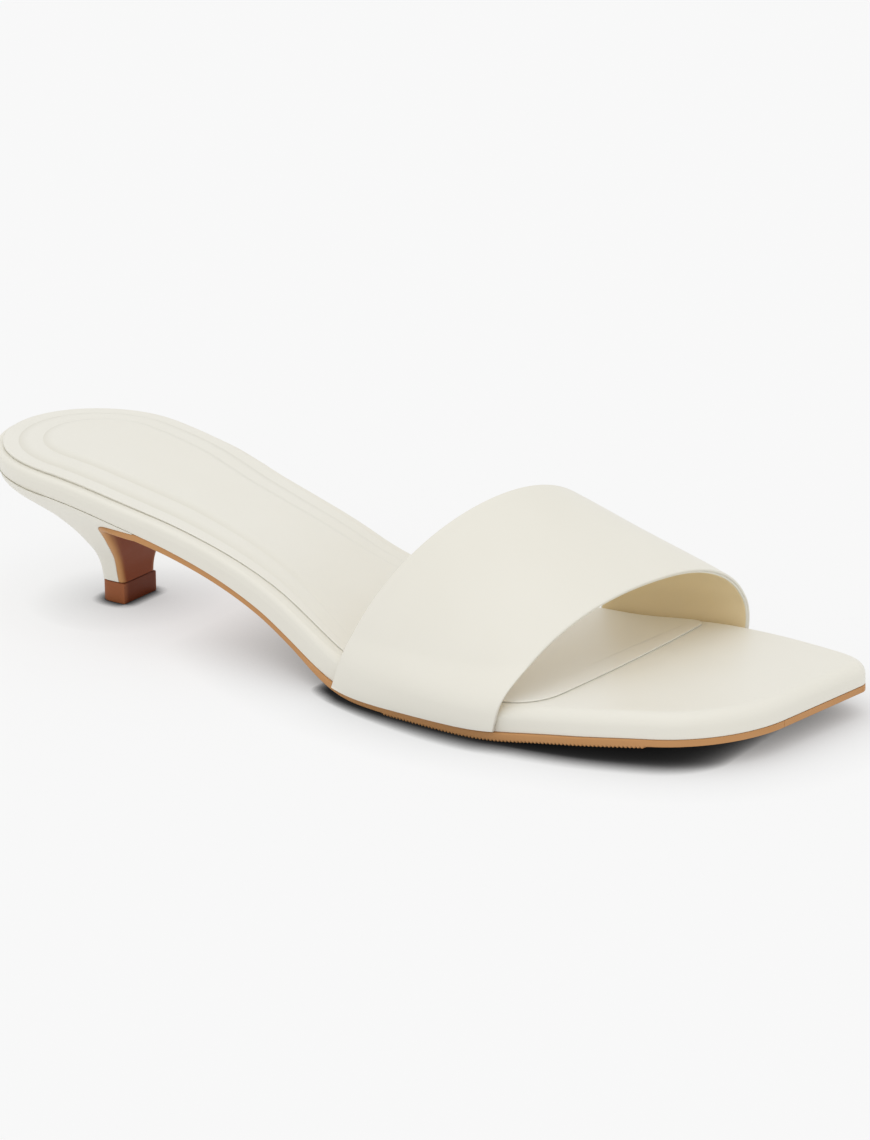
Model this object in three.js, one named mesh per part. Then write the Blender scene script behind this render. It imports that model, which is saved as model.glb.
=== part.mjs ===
// A kitten heel mule for the right foot, built as its maker builds it: a footbed wrapped in
// leather, a padded sock on it, one wide strap as the upper, an outsole that turns down the
// breast of the heel, a covered heel and a top lift.
//
// Millimetres. +X is towards the toe, +Y towards the inner side of the foot, +Z up.
// The sole is drawn flat first, in pattern coordinates: s along the foot from the back of the
// heel, y across it, h above the feather line, where the wall of the footbed meets the outsole.
// place() bends that flat pattern along the side profile of the last.

import * as THREE from "three";

// Plan of the sole
const PATTERN_LENGTH = 255;
const HEEL_WIDTH = 62;
const HEEL_ROUND_LENGTH = 30.5;
const BALL_WIDTH = 81.5;
const TOE_WIDTH = 56.5;
const TOE_SLANT = 10.5;
const OUTER_CORNER_ALONG = 19;
const OUTER_CORNER_ACROSS = 20;
const INNER_CORNER_ALONG = 10.5;
const INNER_CORNER_ACROSS = 5.5;
const CORNER_FULLNESS = 0.62;

// Side profile
const HEEL_RISE = 36.7;
const TOE_SPRING = 6;
const BALL_SHARE = 0.62;
const PROFILE_SOFTENING = 7;

// Thicknesses and gaps
const CLEARANCE = 0.3;
const FOOTBED_THICKNESS = 6.9;
const FOOTBED_UNDERCUT = 1.6;
const RIM_RADIUS = 3.4;
const WIDEST_SHARE = 0.75;
const SOCK_THICKNESS = 0.7;
const SOCK_MARGIN = 3.7;
const SOCK_PADDING = 1.3;
const HEEL_PAD_INSET = 12.8;
const WAIST_PAD_INSET = 6;
const SOCK_OUTER_CORNER = 12;
const SOCK_INNER_CORNER = 8;
const SOCK_BOW = 0.8;
const OUTSOLE_THICKNESS = 1.8;
const TREAD_THICKNESS = 0.5;
const OUTSOLE_LEDGE = 1.2;
const STRAP_WALL = 1.5;
const STRAP_SOFTNESS = 0.6;
const STRAP_EASING = 9;

// Strap
const BACK_CROWN_HEIGHT = 52;
const FRONT_CROWN_HEIGHT = 32.5;

// Heel and top lift
const BREAST_START = 61.3;
const BREAST_TOP = 43.8;
const BREAST_SHOULDER = 9;
const BREAST_LEAN = 11;
const BREAST_REACH = 0.4;
const TURN_REACH = 0.5;
const SHOULDER_REACH = 0.72;
const BREAST_FOOT = 38.5;
const HEEL_TOP_EDGE = 0.6;
const HEEL_BASE_WIDTH = 14.4;
const HEEL_BASE_LENGTH = 6.5;
const LIFT_HEIGHT = 5.9;
const LIFT_EDGE = 0.35;

// Height of the feather line along the foot: rise is a share of HEEL_RISE, spring of TOE_SPRING.
const PROFILE = [
  { at: 0.0, rise: 1.0, spring: 0 },
  { at: 0.12, rise: 0.914, spring: 0 },
  { at: 0.24, rise: 0.738, spring: 0 },
  { at: 0.36, rise: 0.487, spring: 0 },
  { at: 0.46, rise: 0.193, spring: 0 },
  { at: 0.55, rise: 0.0, spring: 0 },
  { at: 0.7, rise: 0.0, spring: 0 },
  { at: 0.78, rise: 0.0, spring: 0.37 },
  { at: 0.88, rise: 0.0, spring: 0.75 },
  { at: 1.0, rise: 0.0, spring: 1.0 },
];

// Width along the foot: heel is a share of HEEL_WIDTH and ball of BALL_WIDTH, which add up,
// and inner is the share of that width on the inner side of the foot.
const WIDTHS = [
  { at: 0.2, heel: 0.978, ball: 0, inner: 0.498 },
  { at: 0.24, heel: 0.938, ball: 0, inner: 0.49 },
  { at: 0.28, heel: 0.893, ball: 0, inner: 0.482 },
  { at: 0.34, heel: 0.871, ball: 0, inner: 0.481 },
  { at: 0.4, heel: 0.88, ball: 0, inner: 0.485 },
  { at: 0.5, heel: 0, ball: 0.797, inner: 0.493 },
  { at: 0.6, heel: 0, ball: 0.942, inner: 0.501 },
  { at: 0.7, heel: 0, ball: 1.0, inner: 0.508 },
  { at: 0.8, heel: 0, ball: 0.968, inner: 0.518 },
  { at: 0.88, heel: 0, ball: 0.87, inner: 0.531 },
];
const TOE_INNER_SHARE = 0.531;

// Edges of the sole along the foot: height, rim and undercut of the footbed's wall, the margin of
// rim that the sock leaves bare, and the thickness and ledge of the outsole, as shares of
// FOOTBED_THICKNESS, RIM_RADIUS, FOOTBED_UNDERCUT, SOCK_MARGIN, OUTSOLE_THICKNESS, OUTSOLE_LEDGE.
const EDGES = [
  { at: 0.05, height: 0.8, rim: 0.35, undercut: 0.5, margin: 0.52, thickness: 1.0, ledge: 0.0 },
  { at: 0.22, height: 0.88, rim: 0.35, undercut: 1.0, margin: 0.7, thickness: 1.0, ledge: 0.0 },
  { at: 0.3, height: 0.92, rim: 0.35, undercut: 0.9, margin: 0.82, thickness: 1.05, ledge: -0.5 },
  { at: 0.45, height: 1.0, rim: 0.4, undercut: 0.5, margin: 1.0, thickness: 0.95, ledge: -0.3 },
  { at: 0.56, height: 0.97, rim: 0.75, undercut: 0.0, margin: 0.94, thickness: 1.0, ledge: 1.1 },
  { at: 0.8, height: 0.9, rim: 1.0, undercut: 0.0, margin: 0.84, thickness: 1.0, ledge: 0.4 },
  { at: 1.0, height: 0.83, rim: 1.0, undercut: 0.0, margin: 0.75, thickness: 0.9, ledge: 0.0 },
];

// The two edges of the strap. outer and inner say where they meet the sole, along and across
// where the crown lies, as shares of PATTERN_LENGTH and BALL_WIDTH. The exponents shape the
// two halves of the arch: below 1 squarer, above 1 flatter.
const STRAP_BACK = { outer: 0.527, inner: 0.653, along: 0.636, across: 0.03,
  height: BACK_CROWN_HEIGHT, outerRound: 1.08, innerRound: 0.94 };
const STRAP_FRONT = { outer: 0.729, inner: 0.832, along: 0.779, across: 0.105,
  height: FRONT_CROWN_HEIGHT, outerRound: 0.9, innerRound: 0.88 };
const OUTER_RISE = 0.84;
const INNER_RISE = 1.2;

// Ends of the sock's front edge, as shares of PATTERN_LENGTH.
const SOCK_FRONT_OUTER = 0.772;
const SOCK_FRONT_INNER = 0.7995;

// Rings of the padded sock from its edge inwards: inset as a share of HEEL_PAD_INSET at the heel
// and WAIST_PAD_INSET in front of it, top as a share of SOCK_THICKNESS, and padding over it as a
// share of SOCK_PADDING. The padding runs in two steps and fades out along the waist.
const SOCK_RINGS = [
  { inset: 0.0, top: 0.0, padding: 0.0 },
  { inset: 0.04, top: 1.0, padding: 0.0 },
  { inset: 0.33, top: 1.0, padding: 0.05 },
  { inset: 0.5, top: 1.0, padding: 0.5 },
  { inset: 0.83, top: 1.0, padding: 0.55 },
  { inset: 1.0, top: 1.0, padding: 1.0 },
];
const PADDING_FULL = 0.22;
const PADDING_GONE = 0.62;

// Sections of the heel from its seat to its base: depth is the share of the way down, and back,
// outer and inner are the shares of the way from the seat's outline to the base's at the back and
// on the two sides.
const HEEL_SECTIONS = [
  { depth: 0.0, back: 0.0, outer: 0.0, inner: 0.0 },
  { depth: 0.06, back: 0.008, outer: 0.02, inner: 0.02 },
  { depth: 0.15, back: 0.06, outer: 0.12, inner: 0.13 },
  { depth: 0.22, back: 0.24, outer: 0.21, inner: 0.26 },
  { depth: 0.3, back: 0.458, outer: 0.322, inner: 0.41 },
  { depth: 0.47, back: 0.777, outer: 0.52, inner: 0.68 },
  { depth: 0.59, back: 0.885, outer: 0.67, inner: 0.84 },
  { depth: 0.69, back: 0.948, outer: 0.795, inner: 0.935 },
  { depth: 0.79, back: 0.98, outer: 0.89, inner: 0.98 },
  { depth: 0.91, back: 0.997, outer: 0.962, inner: 0.995 },
  { depth: 1.0, back: 1.0, outer: 1.0, inner: 1.0 },
];
const BASE_SQUARENESS = 0.35;
const SEAT_HOLD = 4;

// Where the tread is thicker, as shares of the rows of the outsole from the breast to the toe.
const TREAD_FROM = 0.43;
const TREAD_TO = 0.81;

// How finely each form is divided.
const HEEL_STEPS = 9;
const SEAT_SIDE_STEPS = 5;
const SIDE_STEPS = 24;
const CORNER_STEPS = 6;
const ACROSS_STEPS = 6;
const BREAST_STEPS = 11;
const STRAP_ALONG = 10;
const STRAP_AROUND = 44;
const STRAP_CROWDING = 0.65;
const STRAP_NUDGE = 0.002;
const RIM_STEPS = 4;

const mix = THREE.MathUtils.lerp;
const clamp = THREE.MathUtils.clamp;
const smoothstep = THREE.MathUtils.smoothstep;

// Curve through the points (xs, ys), smooth and never beyond them between two rows.
function curveThrough(xs, ys) {
  const last = xs.length - 1;
  const run = xs.slice(1).map((x, i) => x - xs[i]);
  const rate = run.map((dx, i) => (ys[i + 1] - ys[i]) / dx);
  const slope = xs.map((_, i) => {
    if (i === 0) return rate[0];
    if (i === last) return rate[last - 1];
    if (rate[i - 1] * rate[i] <= 0) return 0;
    const before = 2 * run[i] + run[i - 1];
    const after = run[i] + 2 * run[i - 1];
    return (before + after) / (before / rate[i - 1] + after / rate[i]);
  });
  return (x) => {
    const i = clamp(xs.findIndex((edge) => x < edge) - 1, 0, last - 1);
    const k = x >= xs[last] ? last - 1 : i;
    const t = clamp((x - xs[k]) / run[k], 0, 1);
    const t2 = t * t;
    const t3 = t2 * t;
    return ys[k] * (2 * t3 - 3 * t2 + 1) + slope[k] * run[k] * (t3 - 2 * t2 + t)
      + ys[k + 1] * (3 * t2 - 2 * t3) + slope[k + 1] * run[k] * (t3 - t2);
  };
}

function column(rows, value) {
  return curveThrough(rows.map((row) => row.at * PATTERN_LENGTH), rows.map(value));
}

// Side profile: heights give slopes, the slopes are softened, and their sums give the bent line,
// whose ball stands on the tread.
const FEATHER_HEIGHT = CLEARANCE + OUTSOLE_THICKNESS + TREAD_THICKNESS;
const featherCurve = column(PROFILE, (row) => row.rise * HEEL_RISE + row.spring * TOE_SPRING);
const profile = makeProfile();

function makeProfile() {
  const from = -2 * Math.ceil(PROFILE_SOFTENING);
  const count = Math.ceil(PATTERN_LENGTH) - 2 * from;
  const drop = (s) => {
    const inside = clamp(s, 0, PATTERN_LENGTH - 1);
    return featherCurve(inside + 1) - featherCurve(inside);
  };
  const slopes = [];
  for (let k = 0; k <= count; k++) {
    let sum = 0;
    for (let d = from / 2; d < -from / 2; d++) sum += drop(from + k + d);
    slopes.push(sum / -from);
  }
  const points = [{ x: 0, z: 0, slope: slopes[0] }];
  for (let k = 1; k <= count; k++) {
    const slope = (slopes[k - 1] + slopes[k]) / 2;
    const before = points[k - 1];
    points.push({ x: before.x + Math.sqrt(1 - slope * slope), z: before.z + slope, slope: slopes[k] });
  }
  const atHeel = points[-from];
  const atBall = points[Math.round(BALL_SHARE * PATTERN_LENGTH) - from];
  const x0 = atHeel.x;
  const z0 = atBall.z - FEATHER_HEIGHT;
  for (const point of points) {
    point.x -= x0;
    point.z -= z0;
  }
  return { from, points };
}

function profileAt(s) {
  const k = clamp(Math.floor(s - profile.from), 0, profile.points.length - 2);
  const t = s - profile.from - k;
  const a = profile.points[k];
  const b = profile.points[k + 1];
  return { x: mix(a.x, b.x, t), z: mix(a.z, b.z, t), slope: mix(a.slope, b.slope, t) };
}

function place([s, y, h]) {
  const { x, z, slope } = profileAt(s);
  return [x - h * slope, y, z + h * Math.sqrt(1 - slope * slope)];
}

// The s whose profile point, raised by h, lies at x.
function patternAt(x, h = 0) {
  const k = profile.points.findIndex((point) => point.x - h * point.slope > x);
  const a = profile.points[k - 1];
  const b = profile.points[k];
  const from = a.x - h * a.slope;
  return profile.from + k - 1 + (x - from) / (b.x - h * b.slope - from);
}

// Plan outline: half the width on one side, side = -1 for the outer and +1 for the inner side.
const wallHeight = column(EDGES, (row) => row.height * FOOTBED_THICKNESS);
const rimRadius = column(EDGES, (row) => row.rim * RIM_RADIUS);
const undercut = column(EDGES, (row) => row.undercut * FOOTBED_UNDERCUT);
const sockMargin = column(EDGES, (row) => row.margin * SOCK_MARGIN);
const outsoleThickness = column(EDGES, (row) => row.thickness * OUTSOLE_THICKNESS);
const outsoleLedge = column(EDGES, (row) => row.ledge * OUTSOLE_LEDGE);

function sideShare(inner, side) {
  return side > 0 ? inner : 1 - inner;
}

function frontEnd(side) {
  return side > 0 ? PATTERN_LENGTH : PATTERN_LENGTH - TOE_SLANT;
}

function makeHalfWidth(side) {
  const corner = TOE_WIDTH * sideShare(TOE_INNER_SHARE, side);
  const rows = WIDTHS.map((row) => (
    (row.heel * HEEL_WIDTH + row.ball * BALL_WIDTH) * sideShare(row.inner, side)));
  const curve = curveThrough(
    [HEEL_ROUND_LENGTH, ...WIDTHS.map((row) => row.at * PATTERN_LENGTH), frontEnd(side)],
    [HEEL_WIDTH / 2, ...rows, corner]);
  return (s) => {
    if (s >= HEEL_ROUND_LENGTH) return curve(s);
    const back = 1 - Math.max(s, 0) / HEEL_ROUND_LENGTH;
    return HEEL_WIDTH / 2 * Math.sqrt(1 - back * back);
  };
}

const halfWidths = { "-1": makeHalfWidth(-1), 1: makeHalfWidth(1) };

function halfWidth(side, s) {
  return halfWidths[side](s);
}

// One side of an outline, from the back to the end of its front corner, as [s, y] pairs.
// end is where its front edge meets this side, and slant how much less far the other side goes.
function sidePoints(side, { start = 0, end, along, across, slant }) {
  const points = [];
  const y = (s) => side * halfWidth(side, s);
  if (start < HEEL_ROUND_LENGTH) {
    for (let i = 0; i < HEEL_STEPS; i++) {
      const angle = i / HEEL_STEPS * Math.PI / 2;
      points.push([HEEL_ROUND_LENGTH * (1 - Math.cos(angle)), side * HEEL_WIDTH / 2 * Math.sin(angle)]);
    }
  }
  const first = Math.max(start, HEEL_ROUND_LENGTH);
  const cut = end - along;
  for (let i = 0; i < SIDE_STEPS; i++) {
    const s = mix(first, cut, i / SIDE_STEPS);
    points.push([s, y(s)]);
  }
  const cornerY = y(end);
  const tangent = new THREE.Vector2(1, y(cut) - y(cut - 1)).normalize();
  const begin = new THREE.Vector2(cut, y(cut));
  const edge = new THREE.Vector2(end - slant * across, cornerY - side * across);
  const towards = new THREE.Vector2(end, cornerY).sub(edge).multiplyScalar(CORNER_FULLNESS);
  const corner = new THREE.CubicBezierCurve(
    begin, tangent.multiplyScalar(along * CORNER_FULLNESS).add(begin), edge.clone().add(towards), edge);
  for (let i = 0; i <= CORNER_STEPS; i++) {
    const point = corner.getPoint(i / CORNER_STEPS);
    points.push([point.x, point.y]);
  }
  return points;
}

// Both sides of the sole's own outline, to the square toe.
const SLANT_RATE = TOE_SLANT / TOE_WIDTH;
const TOE_ENDS = {
  "-1": { end: frontEnd(-1), along: OUTER_CORNER_ALONG, across: OUTER_CORNER_ACROSS, slant: -SLANT_RATE },
  1: { end: frontEnd(1), along: INNER_CORNER_ALONG, across: INNER_CORNER_ACROSS, slant: SLANT_RATE },
};

function soleSides(start) {
  return [-1, 1].map((side) => sidePoints(side, { start, ...TOE_ENDS[side] }));
}

// A ring runs up the outer side, across the front and back down the inner side. The back
// point is shared, so n steps a side and f across the front make 2n + f points.
function ringFrom([outer, inner]) {
  const a = outer.at(-1);
  const b = inner.at(-1);
  const front = [];
  for (let j = 1; j < ACROSS_STEPS; j++) {
    front.push(a.map((value, axis) => mix(value, b[axis], j / ACROSS_STEPS)));
  }
  return [...outer, ...front, ...inner.slice(1).reverse()];
}

// Moves each point of a flat ring inwards by inset(point) and gives it the height h(point).
function insetRing(ring, inset, h) {
  return ring.map((point, i) => {
    const before = ring.at(i - 1);
    const after = ring[(i + 1) % ring.length];
    const along = new THREE.Vector2(after[0] - before[0], after[1] - before[1]).normalize();
    const d = inset(point);
    return [point[0] - d * along.y, point[1] + d * along.x, h(point)];
  });
}

// Mesh with its faces outwards.
function solid(name, points, faces, material) {
  let volume = 0;
  for (const [a, b, c] of faces) {
    const [p, q, r] = [a, b, c].map((k) => new THREE.Vector3(...points[k]));
    volume += p.dot(q.cross(r));
  }
  const index = volume > 0 ? faces : faces.map(([a, b, c]) => [a, c, b]);
  const geometry = new THREE.BufferGeometry();
  geometry.setAttribute("position", new THREE.Float32BufferAttribute(points.flat(), 3));
  geometry.setIndex(index.flat());
  geometry.computeVertexNormals();
  const mesh = new THREE.Mesh(geometry, material);
  mesh.name = name;
  return mesh;
}

// Closed body between rings of equal length, from the lowest to the highest, with both ends
// closed by rows of faces that run from the outer to the inner side.
function ringSolid(name, rings, bend, material) {
  const size = rings[0].length;
  const n = (size - ACROSS_STEPS) / 2;
  const points = rings.flat().map(bend);
  const faces = [];
  for (let r = 0; r + 1 < rings.length; r++) {
    for (let k = 0; k < size; k++) {
      const a = r * size + k;
      const b = r * size + (k + 1) % size;
      faces.push([a, b, b + size], [a, b + size, a + size]);
    }
  }
  for (const [ring, start, up] of [[rings[0], 0, false], [rings.at(-1), (rings.length - 1) * size, true]]) {
    const row = (i) => {
      if (i === 0) return Array(ACROSS_STEPS + 1).fill(start);
      const ends = [i, size - i];
      const indices = [start + i];
      for (let j = 1; j < ACROSS_STEPS; j++) {
        if (i === n) {
          indices.push(start + n + j);
        } else {
          const t = j / ACROSS_STEPS;
          points.push(bend(ring[ends[0]].map((value, axis) => mix(value, ring[ends[1]][axis], t))));
          indices.push(points.length - 1);
        }
      }
      return [...indices, start + ends[1]];
    };
    let near = row(0);
    for (let i = 1; i <= n; i++) {
      const far = row(i);
      for (let j = 0; j < ACROSS_STEPS; j++) {
        const quad = [[near[j], far[j], far[j + 1]], [near[j], far[j + 1], near[j + 1]]];
        for (const [a, b, c] of quad) {
          if (a !== c) faces.push(up ? [a, b, c] : [a, c, b]);
        }
      }
      near = far;
    }
  }
  return solid(name, points, faces, material);
}

// Closed sheet between two grids of points, face and back, of the same rows and columns.
function sheetSolid(name, face, back, material) {
  const rows = face.length;
  const columns = face[0].length;
  const points = [...face.flat(), ...back.flat()];
  const half = rows * columns;
  const at = (r, c) => r * columns + c;
  const faces = [];
  for (let r = 0; r + 1 < rows; r++) {
    for (let c = 0; c + 1 < columns; c++) {
      const [p, q, u, v] = [at(r, c), at(r + 1, c), at(r + 1, c + 1), at(r, c + 1)];
      faces.push([p, q, u], [p, u, v], [p + half, u + half, q + half], [p + half, v + half, u + half]);
    }
  }
  const edge = [];
  for (let c = 0; c < columns - 1; c++) edge.push(at(0, c));
  for (let r = 0; r < rows - 1; r++) edge.push(at(r, columns - 1));
  for (let c = columns - 1; c > 0; c--) edge.push(at(rows - 1, c));
  for (let r = rows - 1; r > 0; r--) edge.push(at(r, 0));
  edge.forEach((a, i) => {
    const b = edge[(i + 1) % edge.length];
    faces.push([a, b, b + half], [a, b + half, a + half]);
  });
  return solid(name, points, faces, material);
}

const leather = new THREE.MeshStandardMaterial({ color: 0xe9e6da, roughness: 0.45, metalness: 0 });
const sockLeather = new THREE.MeshStandardMaterial({ color: 0xe5e3d6, roughness: 0.5, metalness: 0 });
const soleLeather = new THREE.MeshStandardMaterial({ color: 0xb98353, roughness: 0.4, metalness: 0 });
const liftRubber = new THREE.MeshStandardMaterial({ color: 0x7a4630, roughness: 0.5, metalness: 0 });

// Footbed: undercut wall, widest at WIDEST_SHARE of its height, rounded rim and flat top.
function makeFootbed() {
  const ring = ringFrom(soleSides(0));
  const rings = [
    insetRing(ring, ([s]) => undercut(s), () => 0),
    insetRing(ring, () => 0, ([s]) => (wallHeight(s) - rimRadius(s)) * WIDEST_SHARE),
  ];
  for (let i = 0; i <= RIM_STEPS; i++) {
    const angle = i / RIM_STEPS * Math.PI / 2;
    rings.push(insetRing(ring, ([s]) => rimRadius(s) * (1 - Math.cos(angle)),
      ([s]) => wallHeight(s) - rimRadius(s) * (1 - Math.sin(angle))));
  }
  return ringSolid("footbed", rings, place, leather);
}

// Sock: the footbed's outline less its margin, cut off by a curved front edge under the strap.
function makeSock() {
  const rate = (SOCK_FRONT_INNER - SOCK_FRONT_OUTER) * PATTERN_LENGTH / BALL_WIDTH;
  const end = (share) => share * PATTERN_LENGTH + sockMargin(share * PATTERN_LENGTH);
  const outer = sidePoints(-1, { end: end(SOCK_FRONT_OUTER), along: SOCK_OUTER_CORNER,
    across: SOCK_OUTER_CORNER, slant: -rate });
  const inner = sidePoints(1, { end: end(SOCK_FRONT_INNER), along: SOCK_INNER_CORNER,
    across: SOCK_INNER_CORNER, slant: rate });
  const bowed = ringFrom([outer, inner]).map(([s, y], i) => {
    const share = clamp((i - outer.length + 1) / ACROSS_STEPS, 0, 1);
    return [s + SOCK_BOW * 4 * share * (1 - share), y];
  });
  const base = insetRing(bowed, ([s]) => sockMargin(s), () => 0).map(([s, y]) => [s, y]);
  const fade = (s) => 1 - smoothstep(s, PADDING_FULL * PATTERN_LENGTH, PADDING_GONE * PATTERN_LENGTH);
  const rings = SOCK_RINGS.map((row) => insetRing(base,
    ([s]) => row.inset * mix(WAIST_PAD_INSET, HEEL_PAD_INSET, fade(s)),
    ([s]) => wallHeight(s) + CLEARANCE + row.top * SOCK_THICKNESS + row.padding * SOCK_PADDING * fade(s)));
  return ringSolid("insole_sock", rings, place, sockLeather);
}

const HEEL_BASE_HEIGHT = LIFT_HEIGHT + CLEARANCE;
const breast = makeBreast();

// Breast line in side view: it leaves the underside of the waist level, turns down round a
// shoulder and falls to the base of the heel. Each point has the direction that faces the heel.
function makeBreast() {
  const start = profileAt(BREAST_START);
  const back = new THREE.Vector2(-1, 0);
  const origin = new THREE.Vector2(start.x + CLEARANCE * start.slope, start.z - CLEARANCE);
  const lean = THREE.MathUtils.degToRad(BREAST_LEAN);
  const up = new THREE.Vector2(Math.sin(lean), Math.cos(lean));
  const shoulder = new THREE.Vector2(BREAST_TOP, seatHeight(BREAST_TOP) - BREAST_SHOULDER);
  const foot = new THREE.Vector2(BREAST_FOOT, HEEL_BASE_HEIGHT);
  const along = (point, direction, reach) => direction.clone().multiplyScalar(reach).add(point);
  const turn = new THREE.CubicBezierCurve(origin,
    along(origin, back, (start.x - BREAST_TOP) * TURN_REACH),
    along(shoulder, up, BREAST_SHOULDER * SHOULDER_REACH), shoulder);
  const reach = shoulder.distanceTo(foot) * BREAST_REACH;
  const fall = new THREE.CubicBezierCurve(shoulder, along(shoulder, up, -reach),
    new THREE.Vector2(foot.x, foot.y + reach), foot);
  const points = [];
  for (const curve of [turn, fall]) {
    for (let i = points.length ? 1 : 0; i <= BREAST_STEPS; i++) {
      const { x, y } = curve.getPoint(i / BREAST_STEPS);
      const tangent = curve.getTangent(i / BREAST_STEPS);
      points.push({ x, z: y, toHeel: [tangent.y, -tangent.x] });
    }
  }
  return points;
}

function seatHeight(x) {
  return place([patternAt(x), 0, -CLEARANCE])[2];
}

// How far down the heel a point lies, from 0 at the seat to 1 at the base.
function depthAt(x, z) {
  const seat = seatHeight(x);
  return clamp((seat - z) / (seat - HEEL_BASE_HEIGHT), 0, 1);
}

const taper = (key) => curveThrough(
  HEEL_SECTIONS.map((row) => row.depth), HEEL_SECTIONS.map((row) => row[key]));
const widthTaper = { "-1": taper("outer"), 1: taper("inner") };
const backTaper = taper("back");

function breastHalfWidth(side, depth) {
  const seat = halfWidth(side, BREAST_START) - undercut(BREAST_START);
  return mix(seat, HEEL_BASE_WIDTH / 2, widthTaper[side](depth));
}

// Outsole: a ribbon that starts at the foot of the breast, turns into the waist and runs to the
// toe. Its rows go across, and the tread is a step in its thickness.
function makeOutsole() {
  const face = [];
  const back = [];
  const addRow = (outer, inner, thickness, lay) => {
    const across = (h) => {
      const row = [];
      for (let j = 0; j <= ACROSS_STEPS; j++) {
        const t = j / ACROSS_STEPS;
        row.push(lay([mix(outer[0], inner[0], t), mix(outer[1], inner[1], t), h]));
      }
      return row;
    };
    face.push(across(-thickness));
    back.push(across(0));
  };
  for (const point of [...breast].reverse()) {
    const depth = depthAt(point.x, point.z);
    const lay = ([, y, h]) => [point.x + h * point.toHeel[0], y, point.z + h * point.toHeel[1]];
    addRow([0, -breastHalfWidth(-1, depth)], [0, breastHalfWidth(1, depth)], OUTSOLE_THICKNESS, lay);
  }
  const ledge = (s) => outsoleLedge(s) - undercut(s);
  const flat = soleSides(BREAST_START);
  const [outer, inner] = flat.map((side, k) => side.map(([s, y], i) => {
    const sign = k ? 1 : -1;
    const before = side[Math.max(i - 1, 0)];
    const after = side[Math.min(i + 1, side.length - 1)];
    const along = new THREE.Vector2(after[0] - before[0], after[1] - before[1]).normalize();
    return [s - sign * along.y * ledge(s), y + sign * along.x * ledge(s)];
  }));
  const lay = ([s, y, h]) => place([s, y, h - CLEARANCE]);
  const rows = outer.length - 1;
  const treadFrom = Math.round(TREAD_FROM * rows);
  const treadTo = Math.round(TREAD_TO * rows);
  for (let i = 1; i <= rows; i++) {
    const thickness = outsoleThickness(outer[i][0]);
    const onTread = i >= treadFrom && i <= treadTo;
    if (i === treadFrom) addRow(outer[i], inner[i], thickness, lay);
    addRow(outer[i], inner[i], thickness + (onTread ? TREAD_THICKNESS : 0), lay);
    if (i === treadTo) addRow(outer[i], inner[i], thickness, lay);
  }
  return sheetSolid("outsole", face, back, soleLeather);
}

// Half outlines of the heel, from its back to the corner of its breast, as shares of how far
// back and how wide each section is: round, square like the base, and like the seat.
function roundShares(exponent) {
  const shares = [];
  const steps = HEEL_STEPS + SEAT_SIDE_STEPS;
  for (let i = 0; i <= steps; i++) {
    const angle = i / steps * Math.PI / 2;
    shares.push({ back: Math.cos(angle) ** exponent, width: Math.sin(angle) ** exponent });
  }
  return shares;
}

function seatShares(side, front) {
  const shares = [];
  const inset = undercut(0);
  for (let i = 0; i <= HEEL_STEPS + SEAT_SIDE_STEPS; i++) {
    const angle = Math.min(i / HEEL_STEPS, 1) * Math.PI / 2;
    const along = Math.max(i - HEEL_STEPS, 0) / SEAT_SIDE_STEPS;
    const round = HEEL_ROUND_LENGTH - (HEEL_ROUND_LENGTH - inset) * Math.cos(angle);
    const s = mix(round, front, along);
    const half = along > 0 ? halfWidth(side, s) - undercut(s) : (HEEL_WIDTH / 2 - inset) * Math.sin(angle);
    shares.push({ back: (front - s) / (front - inset), width: half / breastHalfWidth(side, 0) });
  }
  return shares;
}

// Heel: level sections from the seat, which has the footbed's outline, to the small square base.
// Its front follows the breast line, so the outsole lies on it.
function makeHeel() {
  const face = breast
    .map(({ x, z, toHeel }) => ({ x: x + CLEARANCE * toHeel[0], z: z + CLEARANCE * toHeel[1] }))
    .filter(({ x, z }) => seatHeight(x) - z > HEEL_TOP_EDGE);
  const front = [{ x: face[0].x, z: seatHeight(face[0].x) }, ...face];
  const backEnd = place([undercut(0), 0, -CLEARANCE])[0];
  const round = roundShares(1);
  const square = roundShares(BASE_SQUARENESS);
  const rings = front.map(({ x, z }) => {
    const depth = depthAt(x, z);
    const back = mix(backEnd, BREAST_FOOT - HEEL_BASE_LENGTH, backTaper(depth));
    const seated = (1 - depth) ** SEAT_HOLD;
    return ringFrom([-1, 1].map((side) => {
      const seat = seatShares(side, patternAt(face[0].x));
      return seat.map((share, i) => {
        const free = { back: mix(round[i].back, square[i].back, depth),
          width: mix(round[i].width, square[i].width, depth) };
        const px = mix(x, back, mix(free.back, share.back, seated));
        const py = side * breastHalfWidth(side, depth) * mix(free.width, share.width, seated);
        return [px, py, mix(seatHeight(px), HEEL_BASE_HEIGHT, depth)];
      });
    }));
  });
  return ringSolid("heel", rings.reverse(), (point) => point, leather);
}

// Top lift: under the base of the heel and the foot of the breast.
function makeTopLift() {
  const front = BREAST_FOOT + OUTSOLE_THICKNESS;
  const back = BREAST_FOOT - HEEL_BASE_LENGTH;
  const section = (inset, z) => ringFrom([-1, 1].map((side) => roundShares(BASE_SQUARENESS).map((share) => [
    mix(front - inset, back + inset, share.back),
    side * share.width * (HEEL_BASE_WIDTH / 2 - inset), z])));
  const rings = [section(LIFT_EDGE, 0), section(0, LIFT_EDGE), section(0, LIFT_HEIGHT)];
  return ringSolid("top_lift", rings, (point) => point, liftRubber);
}

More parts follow.
